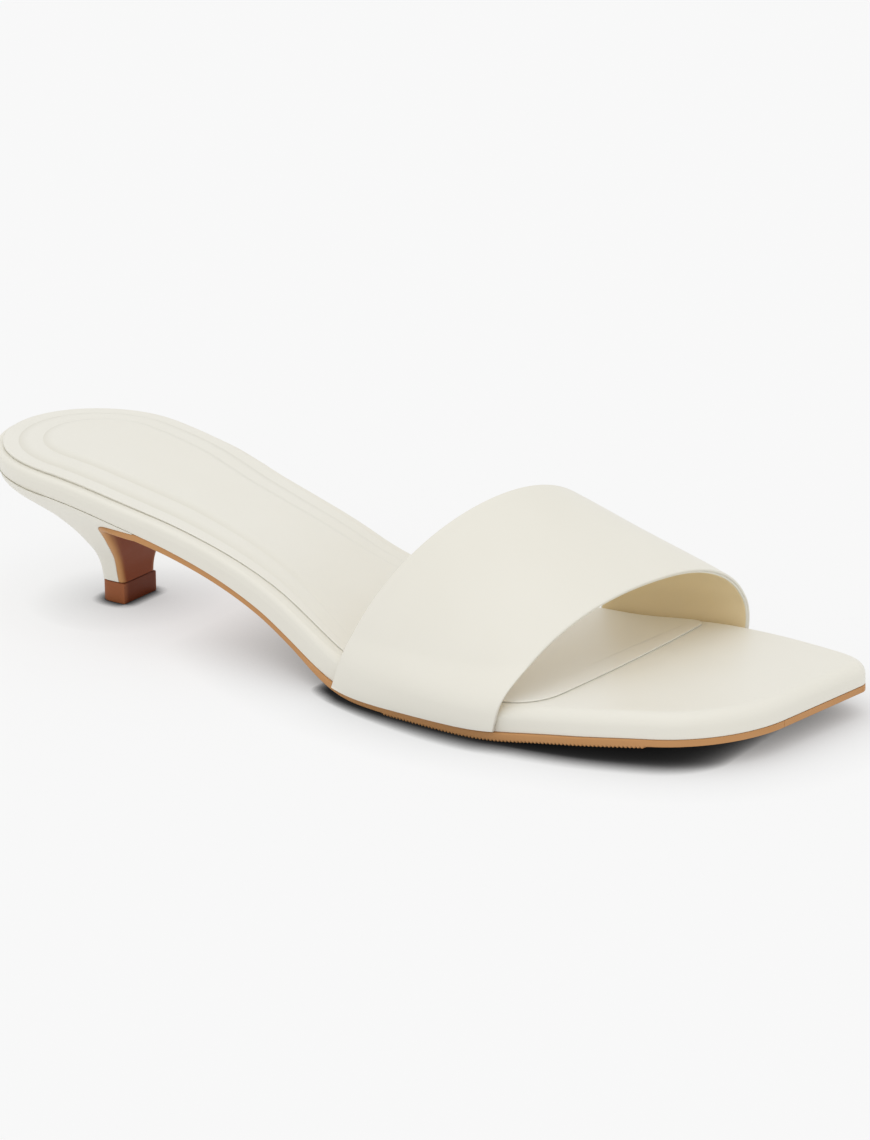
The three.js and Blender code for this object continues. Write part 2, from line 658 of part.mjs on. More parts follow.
// Strap: an arch over the foot between two edge curves. around goes from 0 at the outer side of
// the sole over the crown to 1 at the inner side, and along from 0 at the front edge to 1 at the back.
function strapPoint(around, along) {
  const edge = (key) => mix(STRAP_FRONT[key], STRAP_BACK[key], along);
  const foot = (side, s) => place([s, side * (halfWidth(side, s) + CLEARANCE + STRAP_WALL), CLEARANCE]);
  const outer = foot(-1, edge("outer") * PATTERN_LENGTH);
  const inner = foot(1, edge("inner") * PATTERN_LENGTH);
  const crown = [edge("along") * PATTERN_LENGTH, edge("across") * BALL_WIDTH, edge("height")];
  const angle = around * Math.PI;
  const onOuter = around < 0.5;
  const round = onOuter ? edge("outerRound") : edge("innerRound");
  const across = Math.sign(0.5 - around) * Math.abs(Math.cos(angle)) ** round;
  const rise = Math.max(Math.sin(angle), 0) ** (onOuter ? OUTER_RISE : INNER_RISE);
  return outer.map((value, axis) => {
    const middle = (value + inner[axis]) / 2;
    return middle + (value - inner[axis]) / 2 * across + (crown[axis] - middle) * rise;
  });
}

// Beside the footbed a point of the strap stays out at least the distance gap from its wall, and
// over the rim it eases back to the free arch.
function keepOffWall([x, y, z], gap) {
  let s = patternAt(x);
  let h = 0;
  for (let i = 0; i < 3; i++) {
    h = z - profileAt(s).z;
    s = patternAt(x, h);
  }
  const side = Math.sign(y);
  const free = Math.abs(y);
  const limit = halfWidth(side, s) + gap;
  const kept = (free + limit + Math.hypot(free - limit, STRAP_SOFTNESS)) / 2;
  const top = wallHeight(s);
  const held = 1 - smoothstep(h, top - rimRadius(s) / 2, top + STRAP_EASING);
  return [x, side * mix(free, kept, held), z];
}

// Columns of the strap lie closer together beside the footbed than over the crown.
function strapColumn(c) {
  const t = c / STRAP_AROUND;
  return t - STRAP_CROWDING * Math.sin(2 * Math.PI * t) / (2 * Math.PI);
}

function makeUpper() {
  const outside = [];
  const inside = [];
  for (let r = 0; r <= STRAP_ALONG; r++) {
    const along = r / STRAP_ALONG;
    outside.push([]);
    inside.push([]);
    for (let c = 0; c <= STRAP_AROUND; c++) {
      const around = strapColumn(c);
      const point = new THREE.Vector3(...strapPoint(around, along));
      const a0 = clamp(around - STRAP_NUDGE, 0, 1);
      const a1 = clamp(around + STRAP_NUDGE, 0, 1);
      const over = new THREE.Vector3(...strapPoint(a1, along))
        .sub(new THREE.Vector3(...strapPoint(a0, along)));
      const back = new THREE.Vector3(...strapPoint(around, along + STRAP_NUDGE))
        .sub(new THREE.Vector3(...strapPoint(around, along - STRAP_NUDGE)));
      const inwards = back.cross(over).normalize().multiplyScalar(STRAP_WALL);
      outside[r].push(keepOffWall(point.toArray(), CLEARANCE + STRAP_WALL));
      inside[r].push(keepOffWall(point.add(inwards).toArray(), CLEARANCE));
    }
  }
  return sheetSolid("upper", outside, inside, leather);
}

const shoe = new THREE.Group();
shoe.add(makeFootbed(), makeSock(), makeOutsole(), makeHeel(), makeTopLift(), makeUpper());

// The origin is on the floor under the middle of the shoe.
const extent = new THREE.Box3().setFromObject(shoe);
const middle = extent.getCenter(new THREE.Vector3());
shoe.position.set(-middle.x, -middle.y, 0);
shoe.updateMatrixWorld(true);

export default shoe;
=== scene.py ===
# %% [markdown]
# # A kitten heel mule in cream leather
#
# The shoe is one footbed wrapped in leather, a padded sock, a wide strap, a tan outsole, a covered
# heel and a top lift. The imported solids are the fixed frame: each piece made here lies where its
# solid lies, but with finer steps, rounded edges and a finish. The sole is drawn flat and bent
# along the side profile of the last, so every piece that lies on it uses the same bend.

# %% the frame
import math

import bpy
import numpy as np
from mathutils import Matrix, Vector


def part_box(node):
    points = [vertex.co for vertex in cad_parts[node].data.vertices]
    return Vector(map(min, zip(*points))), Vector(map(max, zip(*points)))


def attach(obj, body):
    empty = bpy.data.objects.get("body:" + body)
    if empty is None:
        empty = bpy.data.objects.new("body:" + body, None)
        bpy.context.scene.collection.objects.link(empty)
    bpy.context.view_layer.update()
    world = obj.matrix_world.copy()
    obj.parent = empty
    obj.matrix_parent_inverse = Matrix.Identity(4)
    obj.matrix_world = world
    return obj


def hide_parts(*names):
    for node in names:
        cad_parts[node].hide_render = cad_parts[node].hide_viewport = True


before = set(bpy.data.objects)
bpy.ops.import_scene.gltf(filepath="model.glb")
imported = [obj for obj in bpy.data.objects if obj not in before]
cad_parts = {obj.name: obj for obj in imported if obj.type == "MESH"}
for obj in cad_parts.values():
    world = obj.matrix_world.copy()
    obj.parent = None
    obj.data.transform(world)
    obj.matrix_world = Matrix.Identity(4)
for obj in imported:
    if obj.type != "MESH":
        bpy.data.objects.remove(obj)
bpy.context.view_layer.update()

# %% [markdown]
# The shapes are worked out in millimetres from the back of the heel. The top lift has a known
# place in those millimetres, so its box gives the shift into the frame. Its back is 32 mm from the
# back of the heel, and it lies on the middle line.

# %% from pattern millimetres to the frame
MM = 0.001
LIFT_BACK, LIFT_FRONT, LIFT_HEIGHT = 32.0, 40.3, 5.9
lift_low, lift_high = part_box("top_lift")
SHIFT = np.array([lift_low.x / MM - LIFT_BACK, (lift_low.y + lift_high.y) / 2 / MM, 0.0])
print("shift in mm", SHIFT)


def to_frame(points):
    """Each point in millimetres plus the shift, in metres."""
    return (np.asarray(points, float) + SHIFT) * MM


# %% [markdown]
# The camera stands in front of the shoe, a little to its outer side and above it, and far away
# with a long lens, as in a catalogue picture. Its direction, distance and lens come from fitting
# the outline of the sole to the photograph.

# %% camera
AZIMUTH, ELEVATION, DISTANCE, LENS = 32.65, 18.73, 895.52, 109.166
TARGET = (136.7, 0.0, 25.62)

azimuth, elevation = math.radians(AZIMUTH), math.radians(ELEVATION)
towards = Vector((math.sin(azimuth) * math.cos(elevation),
                  -math.cos(azimuth) * math.cos(elevation), math.sin(elevation)))
camera = bpy.data.objects.new("camera", bpy.data.cameras.new("camera"))
bpy.context.scene.collection.objects.link(camera)
camera.location = Vector(to_frame(TARGET)) + towards * DISTANCE * MM
camera.rotation_euler = towards.to_track_quat("Z", "Y").to_euler()
camera.data.lens = LENS
camera.data.sensor_width = 36.0
camera.data.clip_start, camera.data.clip_end = 0.01, 50.0
bpy.context.scene.camera = camera
print("camera at", tuple(camera.location))

# %% [markdown]
# Colours are picked as sRGB hex values, as in a paint program, but the renderer wants linear
# light. One function does the change. One more adds a shader node with its settings and links.
# The cream wanders between two colours that are close to each other.

# %% colours and nodes
CREAM = ("#e0ddd1", "#e5e2d8")


def linear(hex_colour):
    """sRGB hex to linear: v / 12.92 in the darks, else ((v + 0.055) / 1.055) to the power 2.4."""
    v = np.array([int(hex_colour[i:i + 2], 16) / 255 for i in (1, 3, 5)])
    lin = np.where(v <= 0.04045, v / 12.92, ((v + 0.055) / 1.055) ** 2.4)
    return (*lin.tolist(), 1.0)


def add(tree, kind, inputs=None, **settings):
    """One node: settings are its properties, and inputs its sockets by name or number."""
    made = tree.nodes.new(kind)
    for key, value in settings.items():
        setattr(made, key, value)
    for key, value in (inputs or {}).items():
        if isinstance(value, bpy.types.NodeSocket):
            tree.links.new(value, made.inputs[key])
        else:
            made.inputs[key].default_value = value
    return made


print("cream is", linear(CREAM[0]), "to", linear(CREAM[1]))

# %% [markdown]
# Smooth aniline-dyed calf has pores too fine to see at this distance, a soft gloss from its wax
# finish, and a colour that wanders a little over the hide. So there are two noises: one of a few
# centimetres that moves the colour and the gloss, and one of half a millimetre for the bump.
# The same recipe with other values serves the lining, the sock, the sole leather and the rubber of
# the lift. Where a place is painted darker, a share held by each point mixes in a third tone: painted
# shade in the sock's creases and on the lift's front, and on the breast partly painted shade, partly
# the finisher's wax.

# %% leather


def leather(name, colours, roughness, grain_mm, grain_depth_mm, drift_mm, coat, stretch=(1, 1, 1),
            wax_and_shade_colour=None, specular=0.5):
    """Colour drifts between the two colours, gloss drifts with it, and the grain is a bump."""
    made = bpy.data.materials.new(name)
    made.use_nodes = True
    tree = made.node_tree
    shader = tree.nodes["Principled BSDF"]
    where = add(tree, "ShaderNodeTexCoord").outputs["Object"]
    laid = add(tree, "ShaderNodeMapping", {"Vector": where, "Scale": stretch}).outputs["Vector"]
    drift = add(tree, "ShaderNodeTexNoise",
                {"Vector": laid, "Scale": 1 / (drift_mm * MM), "Detail": 3.0, "Roughness": 0.5})
    tone = add(tree, "ShaderNodeMix", {0: drift.outputs["Fac"], 6: linear(colours[0]),
                                       7: linear(colours[1])}, data_type="RGBA")
    # A share held by each point mixes in the darker tone: painted shade, on the breast also wax.
    if wax_and_shade_colour:
        share = add(tree, "ShaderNodeAttribute", attribute_name="wax_and_shade").outputs["Fac"]
        tone = add(tree, "ShaderNodeMix", {0: share, 6: tone.outputs[2], 7: linear(wax_and_shade_colour)},
                   data_type="RGBA")
    gloss = add(tree, "ShaderNodeMapRange",
                {"Value": drift.outputs["Fac"], "From Min": 0.3, "From Max": 0.7,
                 "To Min": roughness - 0.04, "To Max": roughness + 0.05})
    grain = add(tree, "ShaderNodeTexNoise",
                {"Vector": laid, "Scale": 1 / (grain_mm * MM), "Detail": 4.0, "Roughness": 0.6})
    bump = add(tree, "ShaderNodeBump",
               {"Height": grain.outputs["Fac"], "Distance": grain_depth_mm * MM, "Strength": 1.0})
    tree.links.new(tone.outputs[2], shader.inputs["Base Color"])
    tree.links.new(gloss.outputs["Result"], shader.inputs["Roughness"])
    tree.links.new(bump.outputs["Normal"], shader.inputs["Normal"])
    shader.inputs["IOR"].default_value = 1.45
    shader.inputs["Specular IOR Level"].default_value = specular
    shader.inputs["Coat Weight"].default_value = coat
    shader.inputs["Coat Roughness"].default_value = 0.3
    return made


calf = leather("cream_calf_leather", CREAM, 0.42, 0.6, 0.012, 30, 0.12)
print("made", calf.name)

# %% [markdown]
# The finished surfaces are grids of points. One function puts a whole array of points and an array
# of faces into a mesh, shades it smooth and lets the piece ride on the shoe. A face of the array has
# four corners, and where two of them are the same point it is a triangle.

# %% from arrays to a piece


def piece(name, points, faces, material, node, flat_angle=None, wax_and_shade=None):
    """Mesh of the points (millimetres) and faces, in place of the CAD node, hung under the root body."""
    faces = np.asarray(faces)
    twice = faces == np.roll(faces, -1, axis=1)
    quads = faces[~twice.any(axis=1)]
    thin = faces[twice.sum(axis=1) == 1]
    keep = ~twice[twice.sum(axis=1) == 1]
    triangles = thin[keep].reshape(-1, 3)
    mesh = bpy.data.meshes.new(name)
    mesh.from_pydata(to_frame(points).tolist(), [], quads.tolist() + triangles.tolist())
    mesh.shade_smooth()
    mesh.materials.append(material)
    made = bpy.data.objects.new(name, mesh)
    bpy.context.scene.collection.objects.link(made)
    if flat_angle:
        mesh.set_sharp_from_angle(angle=math.radians(flat_angle))
    # Each point's share of the darker tone: painted shade, on the breast also the finisher's wax.
    if wax_and_shade is not None:
        shares = mesh.attributes.new("wax_and_shade", "FLOAT", "POINT")
        shares.data.foreach_set("value", np.ascontiguousarray(wax_and_shade, dtype=np.float32))
    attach(made, "root")
    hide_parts(node)
    print(name, len(mesh.vertices), "points", len(mesh.polygons), "faces")
    return made


def grid_faces(rows, columns, closed=False):
    """Faces of a grid of rows by columns points, joined round from the last column if closed."""
    index = np.arange(rows * columns).reshape(rows, columns)
    right = np.roll(index, -1, axis=1)
    if not closed:
        index, right = index[:, :-1], right[:, :-1]
    return np.stack([index[:-1], right[:-1], right[1:], index[1:]], axis=-1).reshape(-1, 4)


# %% [markdown]
# A last is drawn with few measurements and a smooth pencil line through them. The pencil here is a
# cubic through the points of a table whose slopes are chosen so that it never swings past a point.

# %% smooth line through a table


def line_through(xs, ys):
    """Cubic between neighbours; the slope at a point is the harmonic mean of the rates beside it."""
    xs, ys = np.asarray(xs, float), np.asarray(ys, float)
    run, rate = np.diff(xs), np.diff(ys) / np.diff(xs)
    before, after = 2 * run[1:] + run[:-1], run[1:] + 2 * run[:-1]
    same = rate[:-1] * rate[1:] > 0
    safe = np.where(same, rate[:-1], 1.0), np.where(same, rate[1:], 1.0)
    inner = np.where(same, (before + after) / (before / safe[0] + after / safe[1]), 0.0)
    slope = np.concatenate([[rate[0]], inner, [rate[-1]]])

    def value(x):
        x = np.asarray(x, float)
        k = np.clip(np.searchsorted(xs, x, side="right") - 1, 0, len(xs) - 2)
        t = np.clip((x - xs[k]) / run[k], 0, 1)
        return (ys[k] * (2 * t**3 - 3 * t**2 + 1) + slope[k] * run[k] * (t**3 - 2 * t**2 + t)
                + ys[k + 1] * (3 * t**2 - 2 * t**3) + slope[k + 1] * run[k] * (t**3 - t**2))
    return value


# %% [markdown]
# The side profile is the line that the sole follows: high at the heel, down through the waist, flat
# under the ball and up a little at the toe. The flat pattern keeps its length when it is bent, so
# the profile is summed up from its slopes, one millimetre of pattern at a time.

# %% side profile
LENGTH, HEEL_RISE, TOE_SPRING, SOFTENING, BALL = 255.0, 36.7, 6.0, 7, 158
FEATHER = 2.6
AT = np.array([0, .12, .24, .36, .46, .55, .7, .78, .88, 1]) * LENGTH
RISE = np.array([1, .914, .738, .487, .193, 0, 0, 0, 0, 0]) * HEEL_RISE
SPRING = np.array([0, 0, 0, 0, 0, 0, 0, .37, .75, 1]) * TOE_SPRING
feather = line_through(AT, RISE + SPRING)

MARGIN = 2 * SOFTENING
steps = np.arange(-MARGIN - SOFTENING, LENGTH + MARGIN + SOFTENING)
inside = np.clip(steps, 0, LENGTH - 1)
drops = feather(inside + 1) - feather(inside)
slopes = np.convolve(drops, np.ones(2 * SOFTENING) / (2 * SOFTENING), "valid")
line_s = np.arange(len(slopes)) - float(MARGIN)
middle_slopes = (slopes[1:] + slopes[:-1]) / 2
line_x = np.concatenate([[0], np.cumsum(np.sqrt(1 - middle_slopes**2))])
line_z = np.concatenate([[0], np.cumsum(middle_slopes)])
line_x -= line_x[MARGIN]
line_z += FEATHER - line_z[MARGIN + BALL]
print("heel of the feather line at", line_z[MARGIN].round(2),
      "toe at", line_z[MARGIN + int(LENGTH)].round(2))


def profile(s):
    """Place and slope of the side profile at the pattern length s."""
    return np.interp(s, line_s, line_x), np.interp(s, line_s, line_z), np.interp(s, line_s, slopes)


def bend(flat):
    """Flat pattern points (s, y, h) onto the last: the profile at s, plus h along its upward normal."""
    s, y, h = np.moveaxis(np.asarray(flat, float), -1, 0)
    x, z, slope = profile(s)
    return np.stack([x - h * slope, y, z + h * np.sqrt(1 - slope**2)], axis=-1)


def pattern_at(x, h=0.0):
    """The pattern length whose profile, raised by h, lies at x; found by a few corrections."""
    s = np.interp(x, line_x, line_s)
    for _ in range(4):
        s = np.interp(x + h * profile(s)[2], line_x, line_s)
    return s


# %% [markdown]
# Seen from above, the sole is a half ellipse at the heel, narrow at the waist, wide at the ball,
# and cut off square at the toe on a slant, with one large and one small rounded corner. Each side
# has its own widths, because a foot isn't symmetric.

# %% outline of the sole
HEEL_WIDTH, HEEL_ROUND, BALL_WIDTH, TOE_WIDTH, TOE_SLANT = 62.0, 30.5, 81.5, 56.5, 10.5
TOE_INNER, FULLNESS = 0.531, 0.62
WIDTH_AT = np.array([.2, .24, .28, .34, .4, .5, .6, .7, .8, .88])
WIDTHS = np.concatenate([np.array([.978, .938, .893, .871, .88]) * HEEL_WIDTH,
                         np.array([.797, .942, 1.0, .968, .87]) * BALL_WIDTH])
INNER = np.array([.498, .49, .482, .481, .485, .493, .501, .508, .518, .531])
OUTER_SIDE, INNER_SIDE = -1, 1
TOE_END = {OUTER_SIDE: LENGTH - TOE_SLANT, INNER_SIDE: LENGTH}


def widths_of(side):
    """Half width on one side: a half ellipse at the heel, and a line through the table after it."""
    share = INNER if side == INNER_SIDE else 1 - INNER
    toe = TOE_WIDTH * (TOE_INNER if side == INNER_SIDE else 1 - TOE_INNER)
    rest = line_through([HEEL_ROUND, *(WIDTH_AT * LENGTH), TOE_END[side]],
                        [HEEL_WIDTH / 2, *(WIDTHS * share), toe])

    def half(s):
        back = 1 - np.clip(s, 0, HEEL_ROUND) / HEEL_ROUND
        return np.where(np.asarray(s) < HEEL_ROUND, HEEL_WIDTH / 2 * np.sqrt(1 - back**2), rest(s))
    return half


half_width = {side: widths_of(side) for side in (OUTER_SIDE, INNER_SIDE)}
print("ball width", sum(half(0.7 * LENGTH) for half in half_width.values()).round(1))

# %% [markdown]
# A side of an outline runs from the back of the heel to the front edge, and its front corner is a
# Bezier curve. The ring is the outer side, the front edge and the inner side back again.

# %% rings
ROUND_STEPS, SIDE_STEPS, CORNER_STEPS, ACROSS = 28, 96, 16, 20


def bezier(points, t):
    """Cubic Bezier curve: the four points weighed by the binomials of t."""
    a, b, c, d = (np.asarray(p, float) for p in points)
    t = np.asarray(t, float)[:, None]
    return a * (1 - t)**3 + 3 * b * t * (1 - t)**2 + 3 * c * t**2 * (1 - t) + d * t**3


def side_line(side, end, along, across, slant, start=0.0):
    """Points (s, y) of one side: the heel's ellipse, the width line, and the front corner."""
    half = half_width[side]
    arc = np.arange(ROUND_STEPS) / ROUND_STEPS * math.pi / 2
    heel_part = np.stack([HEEL_ROUND * (1 - np.cos(arc)), side * HEEL_WIDTH / 2 * np.sin(arc)], 1)
    first, cut = max(start, HEEL_ROUND), end - along
    s = np.linspace(first, cut, SIDE_STEPS, endpoint=False)
    side_part = np.stack([s, side * half(s)], 1)
    begin = np.array([cut, side * half(cut)])
    direction = np.array([1.0, side * (half(cut) - half(cut - 1))])
    direction /= np.linalg.norm(direction)
    edge = np.array([end - slant * across, side * (half(end) - across)])
    corner_tip = np.array([end, side * half(end)])
    corner = bezier([begin, begin + direction * along * FULLNESS,
                     edge + (corner_tip - edge) * FULLNESS, edge], np.linspace(0, 1, CORNER_STEPS + 1))
    parts = [heel_part, side_part, corner] if start < HEEL_ROUND else [side_part, corner]
    return np.concatenate(parts)


SLANT = TOE_SLANT / TOE_WIDTH
TOE_CORNERS = {OUTER_SIDE: (LENGTH - TOE_SLANT, 19.0, 20.0, -SLANT), INNER_SIDE: (LENGTH, 10.5, 5.5, SLANT)}


def sole_sides(start=0.0):
    """Both sides of the sole's own outline."""
    return [side_line(side, *TOE_CORNERS[side], start=start) for side in (OUTER_SIDE, INNER_SIDE)]


def ring_of(outer, inner, across=ACROSS):
    """Outer side, straight front edge, and inner side back to the shared first point."""
    t = np.arange(1, across)[:, None] / across
    front = outer[-1] * (1 - t) + inner[-1] * t
    return np.concatenate([outer, front, inner[:0:-1]])


def inset(ring, distance, height):
    """Each point moved inwards at right angles to the ring by its distance, at its height."""
    along = np.roll(ring, -1, axis=0) - np.roll(ring, 1, axis=0)
    along /= np.linalg.norm(along, axis=1, keepdims=True)
    s = ring[:, 0] - distance * along[:, 1]
    y = ring[:, 1] + distance * along[:, 0]
    return np.stack([s, y, np.broadcast_to(height, s.shape)], axis=1)


def ring_body(rings, across=ACROSS):
    """Points and faces of a body of rings from low to high, closed at both ends by rows of faces."""
    rings = np.asarray(rings)
    count, size = rings.shape[:2]
    n = (size - across) // 2
    sides = grid_faces(count, size, closed=True)
    points, faces = [rings.reshape(-1, 3)], [sides]
    total = count * size
    for start, ring, up in ((0, rings[0], False), ((count - 1) * size, rings[-1], True)):
        t = np.arange(1, across)[None, :, None] / across
        left, right = ring[1:n], ring[:-n:-1]
        rows = left[:, None] * (1 - t) + right[:, None] * t
        index = np.empty((n + 1, across + 1), int)
        index[0] = start
        index[1:n, 0] = start + np.arange(1, n)
        index[1:n, -1] = start + size - np.arange(1, n)
        index[1:n, 1:-1] = total + np.arange((n - 1) * (across - 1)).reshape(n - 1, across - 1)
        index[n] = start + n + np.arange(across + 1)
        cap = np.stack([index[:-1, :-1], index[1:, :-1], index[1:, 1:], index[:-1, 1:]], -1).reshape(-1, 4)
        points.append(rows.reshape(-1, 3))
        faces.append(cap if up else cap[:, ::-1])
        total += (n - 1) * (across - 1)
    return np.concatenate(points), np.concatenate(faces)


sole_ring = ring_of(*sole_sides())
print("the sole's ring has", len(sole_ring), "points")

# %% [markdown]
# Along the foot the wall of the footbed changes: it is lower at the heel and the toe, and leans in
# under the heel. The sock leaves a margin of rim. The outsole is a little thinner at the waist and
# the toe, and its ledge stands out past the wall beside the ball and draws in under the waist.

# %% edges along the foot
EDGE_AT = np.array([.05, .22, .3, .45, .56, .8, 1]) * LENGTH
RIM, WALL, LEAN_IN, SOCK_INSET, OUTSOLE, LEDGE = 3.4, 6.9, 1.6, 3.7, 1.8, 1.2
rim_radius = line_through(EDGE_AT, np.array([.35, .35, .35, .4, .75, 1, 1]) * RIM)
wall_height = line_through(EDGE_AT, np.array([.8, .88, .92, 1, .97, .9, .83]) * WALL)
undercut = line_through(EDGE_AT, np.array([.5, 1, .9, .5, 0, 0, 0]) * LEAN_IN)
sock_margin = line_through(EDGE_AT, np.array([.52, .7, .82, 1, .94, .84, .75]) * SOCK_INSET)
outsole_thickness = line_through(EDGE_AT, np.array([1, 1, 1.05, .95, 1, 1, .9]) * OUTSOLE)
outsole_ledge = line_through(EDGE_AT, np.array([0, 0, -.5, -.3, .85, .4, 0]) * LEDGE)
GAP, SEAM = 0.3, 0.27
print("wall at heel, waist and toe", wall_height(np.array([0, 0.45, 1]) * LENGTH).round(1))

# %% [markdown]
# The footbed is a board with filling and thin leather pulled over its edge, so its rim is soft and
# its wall tight. It could be a flat plate with a bevel, but the rim's curve has to stay the same
# width round the corners, so it is built of rings, each inset from the outline. Below, the leather
# is turned under the board in a small round, a larger one at the heel than at the waist.

# %% footbed
WIDEST = 0.75
TURNED_HEEL, TURNED_WAIST, TURNED_FROM, TURNED_TO = 0.6, 0.35, 48, 70
TURN_RINGS, RIM_RINGS = 6, 13


def footbed_rings():
    """Turned-under foot, widest line, then a quarter circle of the rim's radius."""
    s = sole_ring[:, 0]
    top, rim = wall_height(s), rim_radius(s)
    tucked, widest = undercut(s), (top - rim) * WIDEST
    turned = np.interp(s, [TURNED_FROM, TURNED_TO], [TURNED_HEEL, TURNED_WAIST])
    rings = []
    for angle in np.linspace(0, math.pi / 2, TURN_RINGS):
        out, up = turned * (1 - math.sin(angle)), turned * (1 - math.cos(angle))
        rings.append(inset(sole_ring, tucked + out, up - SEAM))
    for share in (0.25, 0.5, 0.75, 0.95, 1.0):
        rings.append(inset(sole_ring, tucked * (1 - share), widest * share))
    for angle in np.linspace(0, math.pi / 2, RIM_RINGS):
        rings.append(inset(sole_ring, rim * (1 - math.cos(angle)), top - rim * (1 - math.sin(angle))))
    return rings


points, faces = ring_body(footbed_rings())
piece("footbed_wrap", bend(points), faces, calf, "footbed")

# %% [markdown]
# The sock is a thin padded lining, skived thinner towards the waist. Under it the maker presses
# contour lines that run round the heel and fade along the waist, each a soft step upwards. The
# crease at the foot of each step is painted darker: painted shade. A cloth simulation would lose
# such low steps, so the padding is a height worked out over the rings.

# %% sock
# Its third tone is painted shade, for the creases at the foot of the padding steps.
sock_calf = leather("sock_lining_leather", ("#e1ded3", "#e5e3da"), 0.45, 0.7, 0.014, 25, 0.08,
                    wax_and_shade_colour="#d8d5c9")
SOCK_THICKNESS, SOCK_PADDING, SOCK_BOW = 0.7, 1.3, 0.8
SOCK_ENDS = {OUTER_SIDE: (0.772, 12.0), INNER_SIDE: (0.7995, 8.0)}
HEEL_PAD, WAIST_PAD, FADE_FROM, FADE_TO = 12.8, 6.0, 0.22, 0.62
SKIVED, SKIVE_FROM, SKIVE_TO = 0.55, 0.12, 0.36
SOCK_STEPS = [(0.34, 0.62), (0.84, 1.1)]
SOCK_EDGE = [(0.24, 0.02), (0.2, 0.3), (0.05, 0.45), (0.0, 0.7), (0.1, 0.9), (0.35, 0.98)]
PAD_FROM, PAD_TO, PAD_RINGS = 0.06, 1.1, 64


def smooth(x, low, high):
    """0 below low, 1 above high, and 3t^2 - 2t^3 between them."""
    t = np.clip((np.asarray(x, float) - low) / (high - low), 0, 1)
    return t * t * (3 - 2 * t)


def swell(x, low, high):
    """0 below low, then a steep start that eases out to 1 at high: 1 - (1 - t)^2."""
    t = np.clip((np.asarray(x, float) - low) / (high - low), 0, 1)
    return 1 - (1 - t) ** 2


def sock_rings():
    """Rings and the share of painted shade of each point of the sock, dark in the crease at each step's
    foot.

    The sole's outline less the margin, cut by a bowed front edge. SOCK_EDGE rolls the edge over, by
    inset and share of the thickness, and the rings of padding inside it rise in the steps.
    """
    rate = (SOCK_ENDS[INNER_SIDE][0] - SOCK_ENDS[OUTER_SIDE][0]) * LENGTH / BALL_WIDTH
    sides = []
    for side in (OUTER_SIDE, INNER_SIDE):
        share, corner = SOCK_ENDS[side]
        end = share * LENGTH + float(sock_margin(share * LENGTH))
        sides.append(side_line(side, end, corner, corner, side * rate))
    ring = ring_of(*sides)
    share = np.clip((np.arange(len(ring)) - len(sides[0]) + 1) / ACROSS, 0, 1)
    ring[:, 0] += SOCK_BOW * 4 * share * (1 - share)
    base = inset(ring, sock_margin(ring[:, 0]), 0.0)[:, :2]
    s = base[:, 0]
    fade = 1 - smooth(s, FADE_FROM * LENGTH, FADE_TO * LENGTH)
    seat = wall_height(s)
    thick = (GAP + SOCK_THICKNESS) * (1 - SKIVED * smooth(s, SKIVE_FROM * LENGTH, SKIVE_TO * LENGTH))
    rings = [inset(base, reach, seat + share * thick) for reach, share in SOCK_EDGE]
    painted_shade_shares = [0 * s for _ in SOCK_EDGE]
    for share in np.linspace(PAD_FROM, PAD_TO, PAD_RINGS):
        padding = [swell(share, *step) for step in SOCK_STEPS]
        reach = share * (WAIST_PAD + (HEEL_PAD - WAIST_PAD) * fade)
        rings.append(inset(base, reach, seat + thick + sum(padding) / 2 * SOCK_PADDING * fade))
        # Painted shade in the crease at the foot of each step, fading as the padding rises.
        foot = [(1 - risen) * (share > step[0]) for risen, step in zip(padding, SOCK_STEPS)]
        painted_shade_shares.append(fade * sum(foot))
    return rings, np.concatenate(painted_shade_shares)


rings, painted_shade_shares = sock_rings()
points, faces = ring_body(rings)
painted_shade_shares = np.pad(painted_shade_shares, (0, len(points) - len(painted_shade_shares)))
sock = piece("padded_sock", bend(points), faces, sock_calf, "insole_sock",
             wax_and_shade=painted_shade_shares)

# %% [markdown]
# The strap is an arch over the foot between two edge lines, and both edges run forward on the inner
# side. Each half of the arch is a superellipse, so that it can be a little squarer or flatter than
# a circle. Beside the sole the strap lies against the wall of the footbed.

# %% arch of the strap
EDGE_BACK = dict(outer=.527, inner=.653, along=.636, across=.03, height=52.0,
                 round_out=1.08, round_in=.94)
EDGE_FRONT = dict(outer=.729, inner=.832, along=.779, across=.105, height=32.5,
                  round_out=.9, round_in=.88)
OUTER_RISE, INNER_RISE, STRAP_WALL = 0.84, 1.2, 1.5
STRAP_CROWDING, NUDGE, STRAP_SOFTNESS, STRAP_EASING, STRAP_DROP = 0.65, 0.002, 0.6, 9.0, 0.9


def strap_point(around, along, drop=0.0):
    """Point of the arch: feet on the sole, mixed by the cosine of around, raised by its sine.

    Towards the back edge the feet reach lower by drop.
    """
    around, along = np.broadcast_arrays(around, along)
    edge = {key: EDGE_FRONT[key] + (EDGE_BACK[key] - EDGE_FRONT[key]) * along for key in EDGE_FRONT}
    lifted = GAP - drop * along
    feet = []
    for side, key in ((OUTER_SIDE, "outer"), (INNER_SIDE, "inner")):
        s = edge[key] * LENGTH
        feet.append(bend(np.stack([s, side * (half_width[side](s) + GAP + STRAP_WALL), lifted], -1)))
    crown = np.stack([edge["along"] * LENGTH, edge["across"] * BALL_WIDTH, edge["height"]], -1)
    angle = around * math.pi
    on_outer = around < 0.5
    roundness = np.where(on_outer, edge["round_out"], edge["round_in"])
    across = np.sign(0.5 - around) * np.abs(np.cos(angle)) ** roundness
    rise = np.maximum(np.sin(angle), 0) ** np.where(on_outer, OUTER_RISE, INNER_RISE)
    middle = (feet[0] + feet[1]) / 2
    return middle + (feet[0] - feet[1]) / 2 * across[..., None] + (crown - middle) * rise[..., None]


